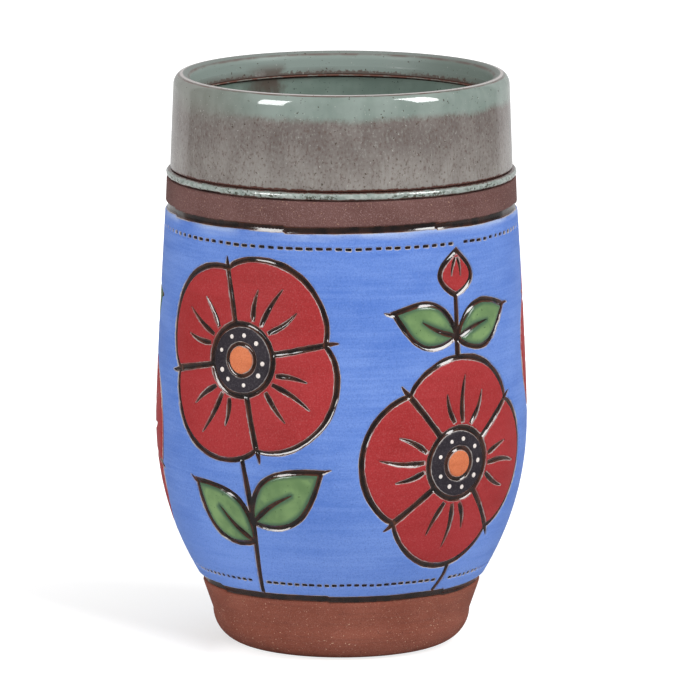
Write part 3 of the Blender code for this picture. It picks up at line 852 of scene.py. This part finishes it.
def lip_glaze_material():
    """Celadon over the lip that breaks to a speckled grey where it thins down the collar, the grey
    lighter low down with a painted reflection of the table.
    """
    material, shader, where = surface("speckled_celadon", 0.05, 0.9)
    x, z = part(where, "X"), part(where, "Z")
    flat = put("ShaderNodeVectorMath", {0: where, 1: (1.0, 1.0, 0.0)}, operation="MULTIPLY")
    radius = put("ShaderNodeVectorMath", {0: flat}, "Value", operation="LENGTH")
    sway = grain(where, 11, 2.0)
    mottle = grain(where, 0.52, 3.0, stretch=(1, 1, 1.5), shift=2.0)
    runs = grain(where, 0.50, 2.0, stretch=(1, 1, 7), shift=13.0)
    cloud = grain(where, 6, 3.0, stretch=(1, 1, 1.6), shift=5.0)
    wide = ramp(cloud, 0.32, 0.68)
    # Painted reflection: the grey is lighter low on the collar, where it faces the table.
    upper = mixed(wide, (0.127, 0.108, 0.100), (0.171, 0.152, 0.141))
    lower = mixed(wide, (0.180, 0.162, 0.150), (0.232, 0.216, 0.200))
    grey = mixed(ramp(z, 0.1095, 0.1205), lower, upper)
    grey = mixed(ramp(runs, 0.50, 0.75, 0.0, 0.30), grey, (0.115, 0.092, 0.080))
    grey = mixed(ramp(mottle, 0.52, 0.70, 0.0, 0.65), grey, (0.092, 0.060, 0.050))
    grey = mixed(ramp(mottle, 0.46, 0.28, 0.0, 0.45), grey, (0.25, 0.25, 0.23))
    green = mixed(wide, (0.162, 0.204, 0.181), (0.216, 0.260, 0.235))
    olive = mixed(wide, (0.152, 0.156, 0.134), (0.180, 0.188, 0.166))
    thick = ramp(x, -0.036, -0.014)
    level = scaled(mottle, -1.2 * MM, scaled(sway, -2.6 * MM, z))
    edge = blended(thick, ramp(level, *GREEN_VAGUE), ramp(level, *GREEN_SHARP))
    colour = mixed(edge, grey, mixed(thick, olive, green))

    inside = ramp_by(radius, LIP_RADIUS, -1.6, -2.6)
    low = times(ramp_by(z, RIDGE, 1.9, 0.1), ramp(sway, 0.42, 0.62, 0.10, 0.60))
    worn = scaled(grain(where, 0.8, 3.0, shift=25.0), -2.2 * MM, z)
    stain = larger(low, times(ramp_by(worn, RIDGE, -0.2, -0.8), 0.85))
    smudge = times(ramp_by(z, RIDGE, 3.4, 0.6), smudge_place(where, 0.30 * MM))
    stain = larger(stain, times(smudge, 0.8))
    # Painted shade: the glaze inside the lip is darker towards the right.
    inside_shaded_right = mixed(ramp(x, 0.006, 0.030), (0.246, 0.298, 0.274), (0.176, 0.214, 0.190))
    colour = mixed(inside, colour, mixed(stain, inside_shaded_right, (0.100, 0.060, 0.050)))

    on_crest = ramp_by(z, CREST, -1.5, -0.7)
    out = calc("SUBTRACT", radius, LIP_RADIUS - CREST_ROUNDING)

    def crest_line(place, reach, core):
        return times(ramp_by(apart(out, place * MM), 0.0, reach, core), on_crest)

    colour = mixed(times(crest_line(-0.35, 1.35, 1.00), 0.7), colour, (0.142, 0.150, 0.140))
    broken = ramp(grain(where, 5, 3.0, shift=17.0), 0.38, 0.60, 0.35, 0.9)
    for place, half, share in ((0.85, 0.24, 1.0), (-1.5, 0.34, 0.7)):
        line = times(times(crest_line(place, half, 0.2 * half), share), broken)
        colour = mixed(line, colour, (0.105, 0.048, 0.040))
    colour = mixed(times(crest_line(0.22, 0.42, 0.20), 0.8), colour, (0.52, 0.46, 0.45))

    worn = scaled(grain(where, 1.1, 3.0, shift=19.0), -0.9 * MM, z)
    rim = ramp_by(worn, COLLAR_BOTTOM, 0.2, -0.1)
    colour = mixed(rim, colour, (0.080, 0.032, 0.024))
    colour = speckled(colour, where, 0.66, 0.715, 7.0, 0.8, (0.050, 0.034, 0.022))
    colour = speckled(colour, where, 0.50, 0.73, 11.0, 0.5, (0.42, 0.42, 0.39))
    dry = times(inside, ramp_by(z, CREST, -3.8, -3.0))
    feed(shader, {
        "Base Color": colour,
        "Roughness": ramp(dry, 0.0, 1.0, 0.05, 0.35),
        "Specular IOR Level": ramp(dry, 0.0, 1.0, 0.9, 0.15),
        "Normal": bumped(grain(where, 3, 1.0), 0.008),
    })
    return material


def bead_material():
    """Pale glaze that pooled thick, with pits and a brown line where it ends."""
    material, shader, where = surface("pooled_celadon", 0.08, 0.9)
    z = part(where, "Z")
    cloud = grain(where, 1.2, 3.0)
    colour = mixed(ramp(cloud, 0.3, 0.7), (0.190, 0.225, 0.205), (0.340, 0.375, 0.350))
    colour = speckled(colour, where, 0.7, 0.655, 3.0, 0.85, (0.045, 0.035, 0.028))
    crowded = ramp(grain(where, 9, 2.0, shift=29.0), 0.43, 0.53)
    crowded = times(crowded, ramp_by(z, BAND_TOP, 1.55, 0.85, 0.15, 1.0))
    deep = ramp(grain(where, 0.8, 2.0, shift=31.0), 0.48, 0.56, 0.0, 0.9)
    colour = mixed(times(deep, crowded), colour, (0.040, 0.044, 0.028))
    low = ramp_by(scaled(cloud, -0.8 * MM, z), BAND_TOP, 0.25, -0.10)
    colour = mixed(low, colour, (0.060, 0.030, 0.024))
    high = ramp_by(scaled(cloud, 0.7 * MM, z), COLLAR_BOTTOM, -0.15, 0.20)
    colour = mixed(high, colour, (0.070, 0.034, 0.026))
    feed(shader, {"Base Color": colour, "Normal": bumped(grain(where, 0.9, 2.0), 0.07)})
    return material


def liner_material():
    """The glaze inside: green, deeper down the wall, with the throwing rings under it."""
    material, shader, where = surface("celadon_inside", 0.10)
    z = part(where, "Z")
    cloud = grain(where, 8, 3.0)
    colour = mixed(ramp(cloud, 0.3, 0.7), (0.144, 0.194, 0.167), (0.200, 0.258, 0.225))
    stain = ramp_by(scaled(cloud, 4.0 * MM, z), RIDGE, 0.4, 2.6)
    colour = mixed(stain, colour, (0.170, 0.110, 0.088))
    streaked = scaled(grain(where, 1.2, 2.0, stretch=(1, 1, 6)), 6.0 * MM, z)
    smudge = ramp_by(streaked, RIDGE, -4.5, 1.5)
    smudge = times(smudge, smudge_place(where, 0.45 * MM))
    colour = mixed(times(smudge, 0.8), colour, (0.095, 0.056, 0.046))
    colour = speckled(colour, where, 0.5, 0.70, 4.0, 0.7, (0.03, 0.03, 0.025))
    rings = grain(where, 2.5, 1.0, stretch=(14, 14, 1))
    feed(shader, {"Base Color": colour, "Normal": bumped(rings, 0.15)})
    return material


# The turned pieces.


def drift(angle, seed, size=9 * MM):
    """A smooth offset between -1 and 1 round the wall, closed on itself."""
    reach = BELLY_RADIUS / size
    return noise.noise(Vector((cos(angle) * reach, sin(angle) * reach, seed * 5.17)))


def border_shift(angle, seed):
    """How far the carved edge of a border strays up or down. It is cut in long strokes, and
    each starts a little above or below the end of the last."""
    turns = angle / (2 * pi) * BORDER_STROKES + 0.37 * seed
    along = turns - floor(turns)
    stroke_number = floor(turns) % BORDER_STROKES
    slope = STROKE_SLOPE * (0.35 + 0.65 * abs(sin(5.1 * stroke_number)))
    step = min(1.0, (1 - along) * GIRTH / BORDER_STROKES / STROKE_END)
    tilted = slope * (2 * along - 1) * step - slope * (1 - step)
    return tilted + 0.10 * MM * drift(angle, seed) + 0.05 * MM * drift(angle, seed + 1, 2.5 * MM)


def clay_relief(angle, radius, height):
    up = 0.0
    if radius > BASE_RADIUS + 2 * MM:
        if abs(height - PANEL_TOP) < 0.5 * MM:
            up = border_shift(angle, UPPER_SEED)
        elif abs(height - FOOT_HEIGHT) < 0.5 * MM:
            up = border_shift(angle, LOWER_SEED)
    return lumps(angle, height), up


def make_clay(material):
    slip_seat = SLIP + SEAT_GAP
    glaze_seat = GLAZE + SEAT_GAP
    ridge_top = RIDGE - 0.1 * MM
    ridge_bottom = ridge_top - RIDGE_LAND - 0.1 * MM
    inner = BASE_RADIUS - FOOT_RING_WIDTH
    profile = inside_profile(glaze_seat, ridge_bottom)
    profile += [
        *beside(RIDGE_RADIUS, ridge_bottom, (0.7, 0), (0.15, 0.15), (-0.10, 0.38)),
        (RIDGE_RADIUS + 0.10 * MM, ridge_top - 0.1 * MM),
        (RIDGE_RADIUS + glaze_seat, ridge_top),
        *lip_profile(glaze_seat)[1:-1],
        (COLLAR_RADIUS - glaze_seat, BAND_TOP - 0.05 * MM),
        *beside(BAND_TOP_RADIUS, BAND_TOP, (-0.35, -0.05), (-0.10, -0.15), (0, -0.45)),
        *beside(SHOULDER_RADIUS, PANEL_TOP, (0, 0.40), (-0.05, 0.15), (-0.22, 0)),
        (SHOULDER_RADIUS - slip_seat, PANEL_TOP - 0.1 * MM),
    ]
    seats = [GROUND_TOP - (GROUND_TOP - GROUND_BOTTOM) * i / 24 for i in range(25)]
    profile += [(outer_radius(h) - slip_seat, h) for h in seats]
    profile += [
        (FOOT_TOP_RADIUS - slip_seat, FOOT_HEIGHT + 0.1 * MM),
        *beside(FOOT_TOP_RADIUS, FOOT_HEIGHT, (-0.25, 0), (-0.06, -0.15), (0, -0.40)),
        *arc(BASE_RADIUS, EDGE_ROUNDING, EDGE_ROUNDING, 0, -90, 16),
        (inner, 0.0),
        (inner - 0.4 * RECESS_SLOPE, 0.35 * FOOT_RECESS),
        (inner - RECESS_SLOPE, FOOT_RECESS),
        (0.0, FOOT_RECESS),
    ]
    turned("thrown_body", divided(profile), material, ["clay_body"], clay_relief, closed=False)


def make_glazes(lip, bead, liner):
    outer = divided(lip_profile(0.0), 0.9 * MM)
    last = COLLAR_RADIUS - GLAZE
    outer[-1:] = beside(COLLAR_RADIUS, COLLAR_BOTTOM, (0, 0.30), (-0.10, 0.08), (-0.35, 0))
    inner = divided(lip_profile(GLAZE), 0.9 * MM)[::-1]
    inner[0] = (last, COLLAR_BOTTOM)
    turned("lip_glaze", outer + inner, lip, ["rim_glaze"])

    radius = 0.5 * (COLLAR_BOTTOM - BAND_TOP) - 0.12 * MM
    middle = 0.5 * (COLLAR_BOTTOM + BAND_TOP)
    roll = arc(BAND_TOP_RADIUS - radius + 0.05 * MM, middle, radius, 100, -100, 14)
    profile = [(last - 0.1 * MM, middle + radius * 0.8), *roll, (last - 0.1 * MM, middle - radius * 0.8)]

    def sag(angle, r, z):
        share = max(0.0, (middle - z) / radius)
        slump = 0.28 * MM * drift(angle, 8, 5 * MM) + 0.10 * MM * drift(angle, 9, 1.6 * MM)
        swell = 0.10 * MM * drift(angle, 10, 2.2 * MM)
        on_face = 1.0 if r > last + 0.3 * MM else 0.0
        return lumps(angle, z) + swell * on_face, (slump - 0.12 * MM) * share

    turned("pooled_bead", profile, bead, ["ledge_glaze_bead"], sag)

    top = RIDGE - RIDGE_LAND - SEAT_GAP
    cavity = divided(inside_profile(0.0, top), 2 * MM)
    against = divided(inside_profile(GLAZE, top), 2 * MM)
    turned("inside_glaze", cavity + against[::-1], liner, ["liner_glaze"], closed=False)


# The carved panel.


def hollow_between(low, high, seed):
    """The face of a border's glaze: a broad, shallow hollow that wavers a little."""

    def face(x, y, distance):
        middle = 0.5 * (low + high) + border_shift(x / BELLY_RADIUS, seed)
        share = (y - middle) / (high - low) + 0.5
        past = share - HOLLOW_PLACE + 0.06 * drift(x / BELLY_RADIUS, 21, 9 * MM)
        hollow = exp(-((past / (HOLLOW_BELOW if past < 0 else HOLLOW_ABOVE)) ** 2))
        return BORDER_DEPTH + HOLLOW_DEPTH * hollow + 0.02 * MM * wander(x, y, 52, 6 * MM)

    return face


def edge_at(height, seed, own=None):
    """The wavering height of a carved edge, as a function of the place along the wall."""

    def edge(x):
        angle = x / BELLY_RADIUS
        uneven = 0.07 * MM * drift(angle, own) if own else 0.0
        return height + border_shift(angle, seed) + uneven

    return edge


def strip(low, high, under=0.0):
    """The wall between two wavering edges, and that much under what is beside them, as one
    outline whose ends match at the seam. Also the two edges as outlines to measure from."""
    count = round(GIRTH / EDGE_SPACING)
    xs = [SEAM + GIRTH * i / count for i in range(count + 1)]
    lower = [(x, low(x) - under) for x in xs]
    upper = [(x, high(x) + under) for x in xs]
    rise = upper[0][1] - lower[0][1]
    steps = max(2, round(rise / MM))
    levels = [lower[0][1] + rise * i / steps for i in range(1, steps)]
    right = [(xs[-1], y) for y in levels]
    left = [(xs[0], y) for y in reversed(levels)]
    upper[-1] = (xs[-1], upper[0][1])
    lower[-1] = (xs[-1], lower[0][1])
    return lower + right + upper[::-1] + left, [lower + lower[::-1], upper + upper[::-1]]


def inside_outline(x, y, outline):
    held = False
    for (x0, y0), (x1, y1) in zip(outline, outline[1:] + outline[:1]):
        if (y0 > y) != (y1 > y) and x < x0 + (x1 - x0) * (y - y0) / (y1 - y0):
            held = not held
    return held


def dash_outlines(height, pitch, length, width, seed, cuts, tree):
    """A row of short dashes pressed into the blue, between the plants."""
    found = []
    count = round(GIRTH / pitch)
    for i in range(1, count):
        x = SEAM + GIRTH * (i + 0.12 * wander(i, 0, seed, 1)) / count
        y = height + 0.18 * MM * wander(x, 0, seed + 1, 7 * MM)
        long = length * (1 + 0.35 * wander(i, 5.3, seed, 1))
        ends = [(x - long / 2, y), (x, y), (x + long / 2, y)]
        if any(tree.find((ex, ey, 0.0))[2] < DASH_CLEARANCE for ex, ey in ends):
            continue
        if any(inside_outline(x, y, cut) for cut in cuts):
            continue
        tilt = 0.06 * MM * wander(i, 9.1, seed, 1)
        dash = []
        for across, up in ring(1.0, 16):
            square = max(abs(across), abs(up)) ** -0.6
            dash.append((x + long / 2 * across * square, y + width / 2 * up * square + tilt * across))
        found.append(dash)
    return found


def make_plant(number, degrees, share, turn, materials):
    """One plant's coats and the glaze round them. Returns what it takes out of the blue."""
    height = bloom_height(share)
    turn = radians(turn)
    seed = 100 * number
    plant = f"poppy_{number}"

    def place(outline):
        return on_wall(outline, degrees, height)

    def foliage(shapes, beyond, first, reach=0.22 * MM):
        grown_shapes = [grown(leaf_outline(*shape), beyond) for shape in shapes]
        return [by_hand(shape, first + i, reach) for i, shape in enumerate(grown_shapes)]

    paths, leaves, buds = plant_lines(share, height)
    petals = [by_hand(grown(petal_outline(i, turn), LAP), seed + i) for i in range(PETALS)]
    centre = by_hand(ring(CENTRE_RADIUS + LAP), seed + 11)
    hole = by_hand(ring(BUTTON_RADIUS + 0.75 * MM, 32), seed + 12, 0.1 * MM)
    button = by_hand(ring(BUTTON_RADIUS - 0.20 * MM, 28), seed + 13, 0.12 * MM)
    blades = foliage(leaves, LAP, seed + 20)
    tips = foliage(buds, LAP, seed + 30)

    veins = []
    root = CENTRE_RADIUS + LINE_WIDTH + 0.4 * MM
    for i in range(PETALS):
        for k, (side, reach) in enumerate(VEINS):
            angle = turn + 2 * pi * (i + 0.5 + side * 0.5) / PETALS + 0.05 * wander(i, k, seed, 1)
            tip = root + (BLOOM_RADIUS - root) * (reach + 0.12 * wander(i, k, seed + 1, 1))
            bow = (0.05 + 0.04 * wander(i, k, seed + 2, 1)) * (1 if side > 0 else -1)
            ends = from_polar([(root, angle), (tip, angle + 0.22 * side)])
            veins.append(tapered(*ends, bow, VEIN_WIDTH))
    ribs = []
    for spot, lean, length, _ in leaves:
        rib = tapered((0.0, -0.8 * MM), (0.3 * MM, length * 0.60), 0.05, 1.35 * MM)
        ribs.append(turned_to(rib, spot, lean))
    for spot, lean, length, width in buds:
        for side in (-1, 1):
            ends = (side * width * 0.04, length * 0.92), (side * width * 0.17, length * 0.42)
            ribs.append(turned_to(tapered(*ends, 0.06 * side, 0.8 * MM), spot, lean))

    cuts = [by_hand(grown(bloom_cut(turn), -LAP), seed + 40, 0.26 * MM)]
    cuts += foliage(leaves, LINE_WIDTH - 1.4 * LAP, seed + 41, 0.26 * MM)
    cuts += foliage(buds, LINE_WIDTH - 1.8 * LAP, seed + 45, 0.24 * MM)
    for path in paths:
        widths = [2 * HALF_LINE * (1.0 + 0.2 * wander(x, y, seed + 50, 6 * MM)) for x, y in path]
        cuts.append(resampled(stroke(path, widths)))
    inner = bloom_edge(0.0) + 0.4 * LINE_WIDTH
    for i in range(PETALS):
        angle = turn + 2 * pi * i / PETALS
        outer = inner + (3.4 + 1.6 * wander(i, 0, seed + 51, 1)) * MM
        ends = from_polar([(inner, angle), (outer, angle + 0.05 * wander(i, 3, seed + 52, 1))])
        cuts.append(tapered(*ends, 0.04, 1.3 * MM, blunt=1.0))
    for i, (spot, lean, length, _) in enumerate(leaves):
        ends = (0.0, length), (0.7 * MM * (-1) ** i, length + 3.6 * MM)
        cuts.append(turned_to(tapered(*ends, 0.05, 1.2 * MM, blunt=1.0), spot, lean))

    def coat(name, outlines, material, stands_for, face=coat_face):
        laid(f"{plant}_{name}", [place(outline) for outline in outlines], face, materials[material],
             [f"{plant}_{stands_for}"])

    for i, petal in enumerate(petals):
        own_veins = veins[len(VEINS) * i:len(VEINS) * (i + 1)]
        coat(f"red_{i + 1}", [petal, *own_veins], "red", f"petal_{i + 1}")
    coat("charcoal", [centre, hole], "charcoal", "centre")
    coat("orange", [button], "orange", "button", button_face)
    for i, blade in enumerate(blades):
        coat(f"green_{i + 1}", [blade, ribs[i]], "green", f"leaf_{i + 1}", pool_face)
    for tip in tips:
        coat("red_bud", [tip, *ribs[len(blades):]], "red", "bud")

    carved = [place(outline) for outline in cuts]
    slips = [place(outline) for outline in (*petals, *blades, *tips, centre)]
    bare = [place(outline) for outline in (*veins, *ribs, hole)]
    outlines = [*carved, *slips, *bare, place(button)]
    first_slip = len(carved)
    first_bare = first_slip + len(slips)

    def in_line(held):
        in_cut = any(i < first_slip for i in held)
        under_slip = any(first_slip <= i < first_bare for i in held)
        bared = any(i >= first_bare for i in held)
        return in_cut and (bared or not under_slip) and len(outlines) - 1 not in held

    laid(f"{plant}_carved_lines", outlines, groove_face, materials["line"], [f"{plant}_line_glaze"],
         in_line, SLIP + 0.2 * MM)

    for k in range(CREAM_DOTS):
        angle = 2 * pi * (k + 0.3 * wander(k, 1, seed + 60, 1)) / CREAM_DOTS
        reach = 0.5 * (BUTTON_RADIUS + CENTRE_RADIUS) + 0.35 * MM + 0.2 * MM * wander(k, 2, seed + 61, 1)
        size = CREAM_RADIUS * (1 + 0.25 * wander(k, 3, seed + 62, 1))
        x, y = reach * cos(angle), reach * sin(angle)
        dot = [(x + dx, y + dy) for dx, dy in ring(size, 14)]
        laid(f"{plant}_cream_{k + 1}", [place(dot)], dot_face, materials["cream"], [],
             back=0.05 * MM)
    return carved


def button_face(x, y, distance):
    return coat_face(x, y, distance) - 0.10 * MM * min(1.0, distance / (2 * MM))


def dot_face(x, y, distance):
    return 0.02 * MM - 0.14 * MM * sqrt(min(1.0, distance / CREAM_RADIUS))


def make_panel(materials):
    cuts = []
    for number, (share, turn) in enumerate(BLOOMS, start=1):
        degrees = FIRST_PLANT + PITCH * (number - 1)
        cuts += make_plant(number, degrees, share, turn, materials)

    ground_low = edge_at(GROUND_BOTTOM, LOWER_SEED, 11)
    ground_high = edge_at(GROUND_TOP, UPPER_SEED, 13)
    whole, edges = strip(ground_low, ground_high)
    tree = edge_tree([*cuts, *edges])
    dashes = [dash for row in DASH_ROWS for dash in dash_outlines(*row, cuts, tree)]
    laid("blue_ground", [whole, *cuts, *dashes], coat_face, materials["blue"], ["blue_slip_ground"],
         edges=[*cuts, *dashes, *edges])
    stains = [grown(dash, 0.06 * MM) for dash in dashes]
    laid("dash_glaze", stains, lambda x, y, distance: DASH_DEPTH, materials["dash"], [],
         lambda held: True)

    upper = (GROUND_TOP, PANEL_TOP, UPPER_SEED)
    lower = (FOOT_HEIGHT, GROUND_BOTTOM, LOWER_SEED)
    for name, low, high, levels, stands_for in (
        ("upper_border", ground_high, edge_at(PANEL_TOP, UPPER_SEED), upper, "top_border_line"),
        ("lower_border", edge_at(FOOT_HEIGHT, LOWER_SEED), ground_low, lower, "foot_border_line"),
    ):
        outline, edges = strip(low, high, 0.08 * MM)
        laid(name, [outline], hollow_between(*levels), materials["line"], [stands_for],
             edges=edges)


# The camera, the lights and the stage.


def aimed(obj, azimuth, elevation, distance):
    """Puts a camera or a lamp that far from the mug's middle and turns it towards that.
    Azimuth 0 is in front and 90 to the right."""
    a, e = radians(azimuth), radians(elevation)
    spot = (distance * sin(a) * cos(e), -distance * cos(a) * cos(e), MIDDLE + distance * sin(e))
    obj.location = spot
    away = Vector(spot) - Vector((0.0, 0.0, MIDDLE))
    obj.rotation_euler = away.to_track_quat("Z", "Y").to_euler()
    bpy.context.scene.collection.objects.link(obj)


def make_camera():
    camera = bpy.data.cameras.new("camera")
    camera.sensor_width = 36.0
    camera.lens = LENS
    camera.shift_x = SHIFT_X
    camera.shift_y = SHIFT_Y
    camera.clip_end = 50.0
    obj = bpy.data.objects.new("camera", camera)
    aimed(obj, 0, VIEW_ELEVATION, VIEW_DISTANCE)
    bpy.context.scene.camera = obj


def make_softbox(name, azimuth, elevation, width, height, radiance):
    lamp = bpy.data.lights.new(name, "AREA")
    lamp.shape = "RECTANGLE"
    lamp.size = width
    lamp.size_y = height
    lamp.energy = radiance * pi * width * height
    aimed(bpy.data.objects.new(name, lamp), azimuth, elevation, LAMP_DISTANCE)


def seen_directly(tree):
    """1 for rays from the camera or through clear glass, and 0 for others. Also 1 for rays
    that a glaze mirrors, and 0 for others."""
    path = tree.nodes.new("ShaderNodeLightPath").outputs
    return larger(path["Is Camera Ray"], path["Is Transmission Ray"]), path["Is Glossy Ray"]


def behind_mug(way):
    """How bright a glaze mirrors what lies that way from the mug."""
    to_left = calc("LESS_THAN", part(way, "X"), 0.0)
    edge = scaled(to_left, SWEEP_LEFT - SWEEP_RIGHT, SWEEP_RIGHT)
    return ramp(calc("SUBTRACT", part(way, "Y"), edge), -0.03, 0.04, ROOM_SEEN, SWEEP_SEEN)


def make_table():
    """The camera sees the table evenly white but for the mug's shadow, which is cast and also
    painted, as the glow is weaker by the mug. What the glazes mirror of it is bright only behind
    the mug."""
    mesh = bpy.data.meshes.new("floor")
    side, front, back = 0.8, -0.11, 2.6
    corners = [(-side, front), (side, front), (side, back), (-side, back)]
    corners = [(x, y, TABLE_TOP) for x, y in corners]
    mesh.from_pydata(corners, [], [[0, 1, 2, 3]])
    table = bpy.data.objects.new("floor", mesh)
    bpy.context.scene.collection.objects.link(table)
    material, shader, where = surface("white_table", 0.9, 0.0)
    seen, mirrored = seen_directly(material.node_tree)
    lit, shown, reflected = ((shade,) * 3 for shade in TABLE_SHADES)
    colour = mixed(mirrored, mixed(seen, lit, shown), reflected)
    feed(shader, {"Base Color": colour})
    # Painted shadow: the glow drops by the mug, and its edges run along the two ways.
    edges = []
    for way, begins, ends in PAINTED_SHADOW_EDGES:
        along = put("ShaderNodeVectorMath", {0: where, 1: way}, "Value", operation="DOT_PRODUCT")
        edges.append(ramp(along, begins, ends, *PAINTED_SHADOW_GLOW))
    far = put("ShaderNodeVectorMath", {0: where}, "Value", operation="LENGTH")
    glow = times(seen, blended(ramp(far, 0.0, 0.28), larger(*edges), 0.95))
    way = put("ShaderNodeVectorMath", {0: where}, operation="NORMALIZE")
    glow = scaled(mirrored, behind_mug(way), glow)
    light = put("ShaderNodeEmission", {"Color": WHITE, "Strength": glow})
    both = put("ShaderNodeAddShader", {0: shader.outputs[0], 1: light})
    feed(material.node_tree.nodes["Material Output"], {"Surface": both})
    mesh.materials.append(material)


def make_room():
    """The room, which the camera sees white."""
    world = bpy.data.worlds.new("studio")
    bpy.context.scene.world = world
    world.use_nodes = True
    seen, mirrored = seen_directly(world.node_tree)
    towards = put("ShaderNodeTexCoord", {}, "Generated", world.node_tree)
    up = part(towards, "Z")
    around = ramp(up, 0.50, 0.85, ROOM_LIGHT, TOP_LIGHT)
    around = blended(ramp(up, 0.0, -0.06), around, TABLE_LIGHT)
    strength = blended(seen, blended(mirrored, around, behind_mug(towards)), 1.0)
    feed(world.node_tree.nodes["Background"], {"Color": WHITE, "Strength": strength})


bpy.context.scene.view_settings.view_transform = "Standard"
make_camera()
make_table()
make_room()
for softbox in SOFTBOXES:
    make_softbox(*softbox)
make_clay(clay_material())
make_glazes(lip_glaze_material(), bead_material(), liner_material())
make_panel({
    "blue": slip_material(
        "blue_slip_coat", (0.069, 0.153, 0.465), (0.134, 0.234, 0.560), wash=(0.36, 0.44, 0.62),
    ),
    "red": slip_material("red_slip_coat", (0.276, 0.018, 0.019), (0.334, 0.028, 0.031), 0.12),
    "charcoal": slip_material("charcoal_slip_coat", (0.018, 0.014, 0.019), (0.032, 0.026, 0.034), 0.2),
    "orange": slip_material("orange_slip_coat", (0.45, 0.111, 0.042), (0.60, 0.183, 0.078), 0.2),
    "cream": slip_material("cream_slip_coat", (0.62, 0.55, 0.51), (0.76, 0.70, 0.66), 0.2, 0.35),
    "green": leaf_material(),
    "line": line_material("dark_line_glaze", 0.9),
    "dash": line_material("dash_line_glaze", 0.1),
})
